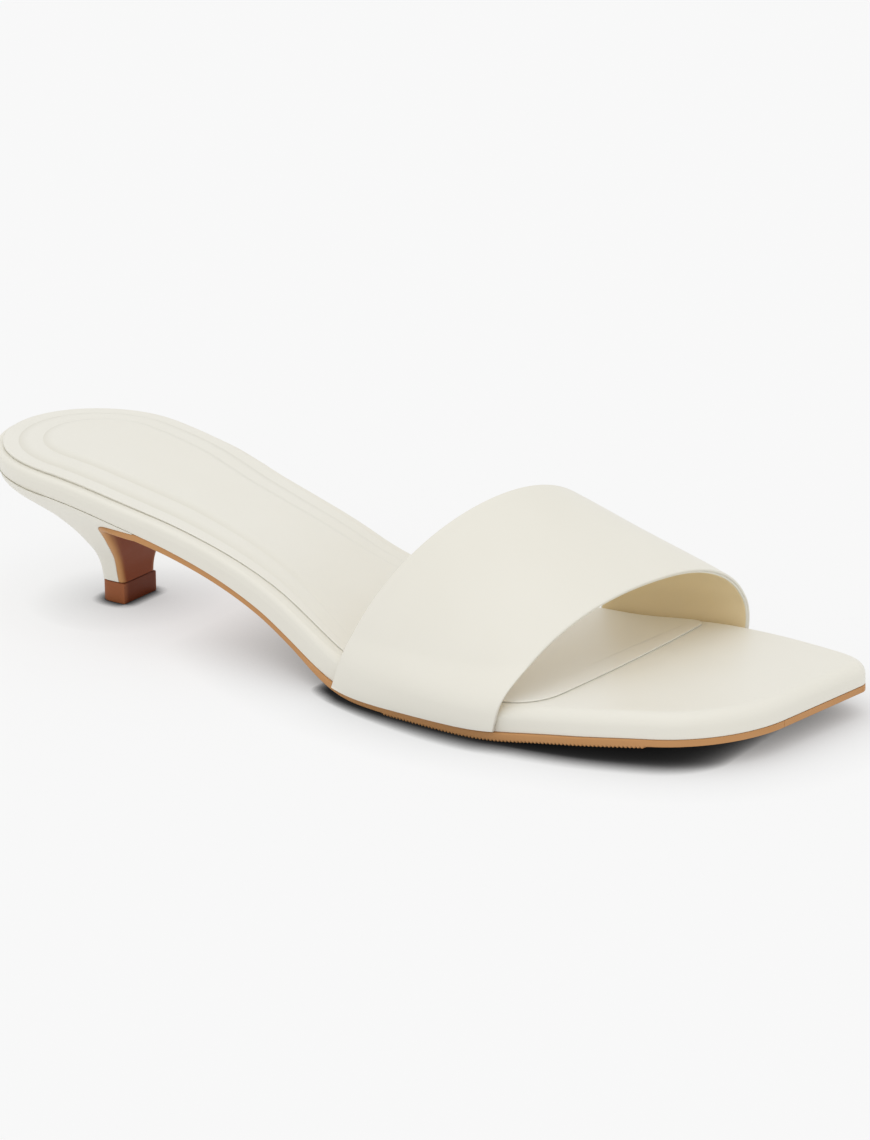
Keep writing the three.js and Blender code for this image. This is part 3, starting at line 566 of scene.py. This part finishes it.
def keep_off_wall(points, gap):
    """Beside the footbed a point stays out from its wall; over the rim it eases to the free arch."""
    x, y, z = np.moveaxis(points, -1, 0)
    s = pattern_at(x)
    for _ in range(3):
        h = z - profile(s)[1]
        s = pattern_at(x, h)
    half = np.where(y < 0, half_width[OUTER_SIDE](s), half_width[INNER_SIDE](s))
    free, limit = np.abs(y), half + gap
    softness = STRAP_SOFTNESS * np.clip(h / STRAP_EASING, 0, 1)
    kept = (free + limit + np.hypot(free - limit, softness)) / 2
    held = 1 - smooth(h, wall_height(s) - rim_radius(s) / 2, wall_height(s) + STRAP_EASING)
    return np.stack([x, np.sign(y) * (free + (kept - free) * held), z], axis=-1)


def strap_layer(depth_out, depth_in, trim, drop, rows=40, columns=180):
    """Closed wall between two depths under the arch, its edges trimmed back and round.

    Each ring runs from foot to foot. The rings go round the wall's section: the front edge's half
    circle, the outside, the back edge's half circle, and the inside.
    """
    t = np.linspace(0, 1, columns + 1)
    around = t - STRAP_CROWDING * np.sin(2 * math.pi * t) / (2 * math.pi)
    half = (depth_in - depth_out) / 2
    turn = np.linspace(-math.pi / 2, math.pi / 2, 9)
    flat = np.linspace(0, 1, rows + 1)[1:-1]
    ones = np.ones_like(flat)
    share_of = np.concatenate([0 * turn, flat, 0 * turn + 1, flat[::-1]])[:, None]
    reach = np.concatenate([-np.cos(turn), 0 * flat, np.cos(turn), 0 * flat])[:, None, None]
    lift = np.concatenate([np.sin(turn), ones, -np.sin(turn), -ones])[:, None]
    width = np.linalg.norm(strap_point(around, 1.0) - strap_point(around, 0.0), axis=-1)
    margin = ((trim + half) / width)[None, :]
    along = margin + (1 - 2 * margin) * share_of
    around = np.broadcast_to(around, along.shape)
    over = (strap_point(np.clip(around + NUDGE, 0, 1), along, drop)
            - strap_point(np.clip(around - NUDGE, 0, 1), along, drop))
    back = strap_point(around, along + NUDGE, drop) - strap_point(around, along - NUDGE, drop)
    inwards = np.cross(back, over)
    inwards /= np.linalg.norm(inwards, axis=-1, keepdims=True)
    back /= np.linalg.norm(back, axis=-1, keepdims=True)
    depth = depth_out + half - half * lift
    points = strap_point(around, along, drop) + inwards * depth[..., None] + back * half * reach
    return keep_off_wall(points, GAP + STRAP_WALL - depth)


# %% [markdown]
# The real strap is cream calf folded back at its edges, with a lining glued inside it that stops
# just short of the fold. The outside and the folded part show as a fine double line at the mouth.
# The outer layer also reaches a little lower at its back corner, over the edge of the sole.
# The lining leather is left pale yellow, so the inside of the strap looks warm.

# %% strap and lining
lining_calf = leather("strap_lining_leather", ("#ead5a9", "#efdeb9"), 0.5, 0.8, 0.02, 25, 0.05)
STRAP_LAYERS = {
    "strap_outer_layer": (0.0, 0.75, 0.0, STRAP_DROP, calf),
    "strap_folded_layer": (0.77, 1.3, 0.12, 0.0, calf),
    "strap_lining_layer": (1.32, 1.5, 0.5, 0.0, lining_calf)}


def tube_body(rings):
    """Wall whose rings run round its section, closed at its two feet by faces across the wall."""
    rows, columns = rings.shape[:2]
    faces = grid_faces(rows, columns)
    near, far = np.arange(columns - 1), np.arange(1, columns)
    last = (rows - 1) * columns
    faces = np.concatenate([faces, np.stack([last + near, last + far, far, near], 1)])
    half = rows // 2
    ends = []
    for column, turned in ((0, False), (columns - 1, True)):
        ring = np.arange(rows) * columns + column
        low, high = ring[:half], ring[half:][::-1]
        quads = np.stack([low[:-1], low[1:], high[1:], high[:-1]], 1)
        ends.append(quads if turned else quads[:, ::-1])
    return rings.reshape(-1, 3), np.concatenate([faces, *ends])


for name, (depth_out, depth_in, trim, drop, skin) in STRAP_LAYERS.items():
    points, faces = tube_body(strap_layer(depth_out, depth_in, trim, drop))
    piece(name, points, faces, skin, "upper", 50)

# %% [markdown]
# The breast line is the side view of the heel's front: it leaves the underside of the waist, turns
# down round a shoulder and falls to the base. Two Bezier curves draw it. The outsole lies on it.

# %% breast line
BREAST_START, BREAST_TOP, BREAST_SHOULDER, BREAST_LEAN, BREAST_FOOT = 61.3, 43.8, 9.0, 11.0, 38.5
REACH, TURN_REACH, SHOULDER_REACH, BASE_HEIGHT = 0.4, 0.5, 0.72, 6.2
BASE_WIDTH, BASE_LENGTH = 14.4, 6.5
BREAST_STEPS = 36


def seat_height(x):
    """Height of the underside of the footbed, less the gap, above x."""
    return bend(np.stack([pattern_at(x), np.zeros_like(x), np.full_like(x, -GAP)], -1))[..., 2]


def breast_line():
    """Points (x, z) of the line and at each the direction that faces the heel."""
    x, z, slope = profile(BREAST_START)
    back = np.array([-1.0, 0.0])
    origin = np.array([x + GAP * slope, z - GAP])
    lean = math.radians(BREAST_LEAN)
    up = np.array([math.sin(lean), math.cos(lean)])
    shoulder = np.array([BREAST_TOP, seat_height(np.array([BREAST_TOP]))[0] - BREAST_SHOULDER])
    foot = np.array([BREAST_FOOT, BASE_HEIGHT])
    reach = np.linalg.norm(shoulder - foot) * REACH
    t = np.linspace(0, 1, BREAST_STEPS + 1)
    turn = bezier([origin, origin + back * (x - BREAST_TOP) * TURN_REACH,
                   shoulder + up * BREAST_SHOULDER * SHOULDER_REACH, shoulder], t)
    fall = bezier([shoulder, shoulder - up * reach, foot + np.array([0, reach]), foot], t)
    line = np.concatenate([turn, fall[1:]])
    tangent = np.gradient(line, axis=0)
    tangent /= np.linalg.norm(tangent, axis=1, keepdims=True)
    return line, np.stack([tangent[:, 1], -tangent[:, 0]], 1)


breast, to_heel = breast_line()
DEPTH = np.array([0, .06, .15, .22, .3, .47, .59, .69, .79, .91, 1])
back_taper = line_through(DEPTH, [0, .008, .06, .24, .458, .777, .885, .948, .98, .997, 1])
width_taper = {
    OUTER_SIDE: line_through(DEPTH, [0, .02, .12, .21, .322, .52, .67, .795, .89, .962, 1]),
    INNER_SIDE: line_through(DEPTH, [0, .02, .13, .26, .41, .68, .84, .935, .98, .995, 1])}


def depth_at(x, z):
    """Share of the way down the heel, from 0 at the seat to 1 at the base."""
    seat = seat_height(x)
    return np.clip((seat - z) / (seat - BASE_HEIGHT), 0, 1)


def breast_half_width(side, depth):
    """Half width of the breast at a depth, tapering from the seat's to the base's."""
    seat = half_width[side](BREAST_START) - undercut(BREAST_START)
    return seat + (BASE_WIDTH / 2 - seat) * width_taper[side](depth)


print("breast falls from", breast[0].round(1), "to", breast[-1].round(1))

# %% [markdown]
# Sole leather is tanned with bark, rolled hard and stained tan, then its edge is burnished with wax,
# so it is darker and glossier than the cream calf. Its fibres lie flat, and show as fine
# lines along the edge. The breast of the heel is polished like a piece of furniture; its third,
# darker tone stands partly for that wax and partly for painted shade.

# %% sole leather
sole_leather = leather("burnished_sole_leather", ("#b68451", "#c39263"), 0.5, 0.5, 0.02, 6, 0.08,
                       stretch=(0.25, 0.25, 2.0), wax_and_shade_colour="#7e380b", specular=0.2)

# %% [markdown]
# The outsole is a ribbon that starts at the foot of the breast, turns under the waist and runs to
# the toe. Its section is a flat strip with rounded edges, carried along the line. The flap down
# the breast has rounder edges than the sole, and its face is painted darker: partly the finisher's
# wax, partly painted shade on a face turned away from the light. Under the ball the ribs of the
# tread are cut into the leather, one a millimetre.

# %% outsole
EDGE_ROUND, FLAP_ROUND, TIP_ROUND, LEAST_ROUND = 0.35, 1.6, 0.1, 0.02
TREAD, TREAD_FROM, TREAD_TO, TREAD_STEP, RIB_PITCH, RIB_FLOOR = 0.5, 0.553, 0.988, 0.003, 1.0, 0.1
WAIST_ROWS, TREAD_ROWS, TOE_ROWS, ROUND_ROWS = 60, 420, 26, 6
FLAP_BLEND, TIP_BLEND, SHADE_AND_WAX_BLEND = (30, 5), (40, 8), (-8, 25)


def strip_section(columns=20):
    """Places round the strip's section: share across, sideways turn and height turn, top or bottom."""
    turn = np.linspace(0, math.pi / 2, ROUND_ROWS)
    flat = np.linspace(0, 1, columns + 1)[1:-1]
    sine, cosine, none, level = np.sin(turn), np.cos(turn), 0 * turn, 0 * flat
    share = np.concatenate([none, none, flat, none + 1, none + 1, flat[::-1]])
    side = np.concatenate([none + 1, none + 1, level, none - 1, none - 1, level])
    out = np.concatenate([sine, cosine, level, sine, cosine, level])
    up = np.concatenate([cosine, -sine, level - 1, -cosine, sine, level + 1])
    return share, np.where(side == 0, 1 - 2 * share, side * (1 - out)), up


def strip(outer, inner, thickness, roundness, pull):
    """Grid of (across point, h): rows along the strip, columns round its section.

    h is 0 on top and -thickness below, less pull on both; corners are quarter circles.
    """
    share, inwards, up = strip_section()
    width = np.linalg.norm(inner - outer, axis=1)[:, None]
    top, low = -pull[:, None], (pull - thickness)[:, None]
    low_r = np.maximum(roundness - pull, LEAST_ROUND)[:, None]
    top_r = np.clip(top - low - low_r, LEAST_ROUND, low_r)
    r = np.where(up > 0, top_r, low_r)
    t = share + inwards * r / width
    flat = outer[:, None] * (1 - t[..., None]) + inner[:, None] * t[..., None]
    h = np.where(up > 0, top - r * (1 - up), low + r * (1 + up))
    return flat, h


def sole_strip():
    """From the breast to the toe: waist, ribbed tread, corners and the rounded front edge."""
    ledge = [outsole_ledge(side[:, 0]) - undercut(side[:, 0]) for side in sole_sides(BREAST_START)]
    edges = []
    for side, sign, out in zip(sole_sides(BREAST_START), (-1, 1), ledge):
        along = np.gradient(side, axis=0)
        along /= np.linalg.norm(along, axis=1, keepdims=True)
        edges.append(side + np.stack([-sign * along[:, 1], sign * along[:, 0]], 1) * out[:, None])
    place = np.concatenate([np.arange(SIDE_STEPS) / SIDE_STEPS,
                            1 + np.arange(CORNER_STEPS + 1) / CORNER_STEPS])
    fine = np.concatenate([np.linspace(0.01, TREAD_FROM - TREAD_STEP, WAIST_ROWS),
                           np.linspace(TREAD_FROM, TREAD_TO, TREAD_ROWS),
                           np.linspace(TREAD_TO + TREAD_STEP, 2, TOE_ROWS)])
    outer, inner = ([np.interp(fine, place, edge[:, k]) for k in (0, 1)] for edge in edges)
    outer, inner = np.stack(outer, 1), np.stack(inner, 1)
    ribs = 0.5 - 0.5 * np.cos(2 * math.pi * outer[:, 0] / RIB_PITCH)
    on_tread = (fine >= TREAD_FROM) & (fine <= TREAD_TO)
    thickness = outsole_thickness(outer[:, 0]) + on_tread * TREAD * (RIB_FLOOR + (1 - RIB_FLOOR) * ribs)
    return outer, inner, thickness


def outsole_grid():
    """The breast's rows, laid on the breast line, then the sole's rows, bent along the profile."""
    low = breast[::-1]
    facing = to_heel[::-1]
    depth = depth_at(low[:, 0], low[:, 1])
    sides = [np.stack([0 * depth, sign * breast_half_width(sign, depth)], 1) for sign in (-1, 1)]
    count = len(low)
    thick = np.full(count, OUTSOLE)
    blend = [count - rows for rows in FLAP_BLEND]
    rounding = np.interp(np.arange(count), blend, [FLAP_ROUND, EDGE_ROUND])
    flat, h = strip(*sides, thick, rounding, 0 * thick)
    flap = np.stack([low[:, 0][:, None] + h * facing[:, 0][:, None], flat[..., 1],
                     low[:, 1][:, None] + h * facing[:, 1][:, None]], -1)
    outer, inner, thickness = sole_strip()
    turn = np.linspace(0, math.pi / 2, ROUND_ROWS)[1:]
    tip = np.array([1.0, 0.0]) * TIP_ROUND * np.sin(turn)[:, None]
    outer = np.concatenate([outer[:-1], outer[-1:] - [TIP_ROUND, 0], outer[-1:] - [TIP_ROUND, 0] + tip])
    inner = np.concatenate([inner[:-1], inner[-1:] - [TIP_ROUND, 0], inner[-1:] - [TIP_ROUND, 0] + tip])
    pull = np.concatenate([0 * thickness, TIP_ROUND * (1 - np.cos(turn))])
    thickness = np.concatenate([thickness, np.full(len(turn), thickness[-1])])
    blend = [len(pull) - rows for rows in TIP_BLEND]
    rounding = np.interp(np.arange(len(pull)), blend, [EDGE_ROUND, TIP_ROUND])
    flat, h = strip(outer, inner, thickness, rounding, pull)
    h = np.where(h > -thickness[:, None] / 2, h + GAP - SEAM - LEAST_ROUND, h)
    sole = bend(np.concatenate([flat, (h - GAP)[..., None]], -1))
    return np.concatenate([flap, sole]), count


def strip_body(grid):
    """Points and faces of rows round a section, its first and last rows closed by faces across."""
    rows, columns = grid.shape[:2]
    faces = [grid_faces(rows, columns, closed=True)]
    half = columns // 2
    for start, turned in ((0, True), ((rows - 1) * columns, False)):
        ring = start + np.roll(np.arange(columns), -3)
        low, high = ring[:half], ring[half:][::-1]
        quads = np.stack([low[:-1], low[1:], high[1:], high[:-1]], 1)
        faces.append(quads[:, ::-1] if turned else quads)
    return grid.reshape(-1, 3), np.concatenate(faces)


grid, flap_rows = outsole_grid()
points, faces = strip_body(grid)


def shade_and_wax_share(across, edge=0.12, far=0.85, paler=0.65):
    """How dark a face is painted: painted shade, on the breast also the finisher's wax. None at the outer
    edge, full between, paler at the inner edge.
    """
    return smooth(across, 0.0, edge) * (1 - paler * smooth(across, far, 1.0))


# Painted shade on the flap's face, with the finisher's wax: dark across its middle, none at the outer edge.
rows = np.arange(len(grid))[:, None]
across = (grid[..., 1] - grid[..., 1].min(1, keepdims=True)) / np.ptp(grid[..., 1], axis=1)[:, None]
low_face = strip_section()[2] < 0
flap_share = 1 - smooth(rows, *(flap_rows + blend for blend in SHADE_AND_WAX_BLEND))
piece("outsole_with_breast_flap", points, faces, sole_leather, "outsole", 40,
      (shade_and_wax_share(across) * low_face * flap_share).ravel())

# %% [markdown]
# The heel block is covered with the same calf, pulled smooth and tucked under the seat. Its
# sections run from the round seat to the small squarish base, and its front follows the breast.

# %% heel
TOP_EDGE, SQUARENESS, SEAT_HOLD = 0.15, 0.35, 4
HEEL_STEPS, STRAIGHT_STEPS, SEAM_GAP = 28, 12, 0.03


def round_shares(exponent, steps=HEEL_STEPS + STRAIGHT_STEPS):
    """Quarter superellipse from the back to the breast corner: cosine and sine to the exponent."""
    angle = np.linspace(0, math.pi / 2, steps + 1)
    return np.cos(angle).clip(0) ** exponent, np.sin(angle) ** exponent


def seat_shares(side, front):
    """The footbed's own outline from its back to the breast, as shares of its length and width."""
    i = np.arange(HEEL_STEPS + STRAIGHT_STEPS + 1)
    tucked = float(undercut(0))
    angle = np.minimum(i / HEEL_STEPS, 1) * math.pi / 2
    along = np.maximum(i - HEEL_STEPS, 0) / STRAIGHT_STEPS
    arc = HEEL_ROUND - (HEEL_ROUND - tucked) * np.cos(angle)
    s = arc + (front - arc) * along
    at_heel = (HEEL_WIDTH / 2 - tucked) * np.sin(angle)
    half = np.where(along > 0, half_width[side](s) - undercut(s), at_heel)
    return (front - s) / (front - tucked), half / breast_half_width(side, 0)


def heel_rings():
    """Level sections from the base up, each between its back line and the breast line."""
    x, z = (breast + SEAM_GAP * to_heel).T
    keep = seat_height(x) - z > TOP_EDGE
    x, z = x[keep], z[keep]
    x, z = np.concatenate([x[:1], x]), np.concatenate([seat_height(x[:1]), z])
    depth = depth_at(x, z)[:, None]
    back_end = bend([float(undercut(0)), 0.0, -GAP])[0]
    back = back_end + (BREAST_FOOT - BASE_LENGTH - back_end) * back_taper(depth)
    seated = (1 - depth) ** SEAT_HOLD
    sides = []
    for side in (OUTER_SIDE, INNER_SIDE):
        seat_back, seat_width = seat_shares(side, float(pattern_at(x[0])))
        free_back = round_shares(1)[0] * (1 - depth) + round_shares(SQUARENESS)[0] * depth
        free_width = round_shares(1)[1] * (1 - depth) + round_shares(SQUARENESS)[1] * depth
        px = x[:, None] + (back - x[:, None]) * (free_back * (1 - seated) + seat_back * seated)
        py = side * breast_half_width(side, depth) * (free_width * (1 - seated) + seat_width * seated)
        pz = seat_height(px) * (1 - depth) + BASE_HEIGHT * depth
        sides.append(np.stack([px, py, pz], -1))
    return [ring_of(outer, inner) for outer, inner in zip(sides[0][::-1], sides[1][::-1])]


points, faces = ring_body(heel_rings())
piece("covered_heel", points, faces, calf, "heel", 35)

# %% [markdown]
# The top lift is a block of dense rubber, ground flush with the heel and then polished, with a
# hair of bevel where it meets the floor. Its front face is painted darker than its sides, paler
# towards its edges: painted shade.

# %% top lift
# Its third tone is painted shade, for the lift's front face.
lift_rubber = leather("ground_lift_rubber", ("#8f5230", "#985a35"), 0.5, 0.4, 0.02, 5, 0.08,
                      wax_and_shade_colour="#672c0e", specular=0.2)
LIFT_EDGE, LIFT_SQUARE_STEPS = 0.35, 40
LIFT_RINGS = [(LIFT_EDGE, 0.0), (0.1, 0.1), (0.0, LIFT_EDGE), (0.0, LIFT_HEIGHT - 0.2), (0.15, LIFT_HEIGHT)]


def lift_section(margin, z):
    """Squarish ring: superellipse halves between the lift's back and front, less the margin."""
    back, width = round_shares(SQUARENESS, LIFT_SQUARE_STEPS)
    x = (LIFT_FRONT - margin) + (LIFT_BACK - LIFT_FRONT + 2 * margin) * back
    sides = [np.stack([x, side * width * (BASE_WIDTH / 2 - margin), 0 * x + z], 1) for side in (-1, 1)]
    return ring_of(*sides)


points, faces = ring_body([lift_section(margin, z) for margin, z in LIFT_RINGS])
# Painted shade: the front face darker than the sides, paler towards its edges.
across = (points[:, 1] + BASE_WIDTH / 2) / BASE_WIDTH
wax_and_shade = shade_and_wax_share(across, 0.16, 0.95) * smooth(points[:, 0], LIFT_FRONT - 0.5, LIFT_FRONT - 0.1)
piece("ground_top_lift", points, faces, lift_rubber, "top_lift", 35, wax_and_shade)

# %% [markdown]
# A catalogue picture stands on seamless white paper under big soft boxes. The floor is one wide
# pale sheet that glows a little, like paper lit from all round. White walls give most of the light,
# one soft box is above, and one is on the camera's side.
# The paper's colour and glow are painted darker where little light reaches it: painted contact
# shadow close to the sole, and painted shade more widely under the arch. The painted contact
# shadow reaches further under the ball.

# %% floor and light
FLOOR_SIZE = 6.0
PAPER, PAPER_GLOW = "#959595", 0.621
# Painted contact shadow near the sole, reaching further under the ball, and wider painted shade under the
# arch.
CONTACT_REACH, CONTACT_POWER, CONTACT_LEAST = (0.004, 0.0078), 3.6, 0.05
BALL_SHADE_RAMP = [(0.0, 0.05), (0.124, 0.098)]
ARCH_REACH, ARCH_POWER, ARCH_LEAST = 0.024, 0.5, 0.0
SKY = 0.89
BOXES = {"top_box": ((0.0, -0.1, 1.0), 0.42, 60), "camera_box": ((0.35, -0.75, 0.6), 0.21, 50)}
paper = bpy.data.materials.new("white_paper")
paper.use_nodes = True
tree = paper.node_tree
paper_shader = tree.nodes["Principled BSDF"]
paper_shader.inputs["Roughness"].default_value = 0.9
paper_shader.inputs["Specular IOR Level"].default_value = 0.0
paper_shader.inputs["Emission Color"].default_value = (1, 1, 1, 1)


def worked(operation, left, right):
    """Output of a math node of the paper that joins left and right by the operation."""
    return add(tree, "ShaderNodeMath", {0: left, 1: right}, operation=operation).outputs[0]


place = add(tree, "ShaderNodeTexCoord").outputs["Object"]
along = add(tree, "ShaderNodeSeparateXYZ", {0: place}).outputs["X"]
painted_shade_shares = [add(tree, "ShaderNodeMapRange", {"Value": along, "From Min": first, "From Max": last},
               interpolation_type="SMOOTHSTEP").outputs[0] for first, last in BALL_SHADE_RAMP]
reach = add(tree, "ShaderNodeMapRange", {"Value": worked("MULTIPLY", *painted_shade_shares),
                                         "To Min": CONTACT_REACH[0], "To Max": CONTACT_REACH[1]})
# Painted shadow: the paper's colour and glow darken where little of the space round it is open.
shade = 1.0
for distance, power, least in ((reach.outputs[0], CONTACT_POWER, CONTACT_LEAST),
                               (ARCH_REACH, ARCH_POWER, ARCH_LEAST)):
    clear = add(tree, "ShaderNodeAmbientOcclusion", {"Distance": distance}, samples=16)
    held = worked("MAXIMUM", worked("POWER", clear.outputs["AO"], power), least)
    shade = worked("MULTIPLY", held, shade)
tone = add(tree, "ShaderNodeMix", {0: shade, 6: (0, 0, 0, 1), 7: linear(PAPER)}, data_type="RGBA")
tree.links.new(tone.outputs[2], paper_shader.inputs["Base Color"])
tree.links.new(worked("MULTIPLY", shade, PAPER_GLOW), paper_shader.inputs["Emission Strength"])
corners = np.array([[-1, -1, 0], [1, -1, 0], [1, 1, 0], [-1, 1, 0]]) * FLOOR_SIZE
floor_mesh = bpy.data.meshes.new("floor")
floor_mesh.from_pydata(corners.tolist(), [], [(0, 1, 2, 3)])
floor_mesh.materials.append(paper)
floor = bpy.data.objects.new("floor", floor_mesh)
bpy.context.scene.collection.objects.link(floor)

world = bpy.data.worlds.new("studio")
bpy.context.scene.world = world
world.use_nodes = True
sky = world.node_tree.nodes["Background"]
sky.inputs["Color"].default_value = (1, 1, 1, 1)
sky.inputs["Strength"].default_value = SKY

for name, (direction, energy, spread) in BOXES.items():
    light = bpy.data.objects.new(name, bpy.data.lights.new(name, "SUN"))
    bpy.context.scene.collection.objects.link(light)
    light.rotation_euler = Vector(direction).to_track_quat("Z", "Y").to_euler()
    light.data.energy = energy
    light.data.angle = math.radians(spread)
    print(name, "from", direction)
bpy.context.scene.view_settings.view_transform = "Standard"
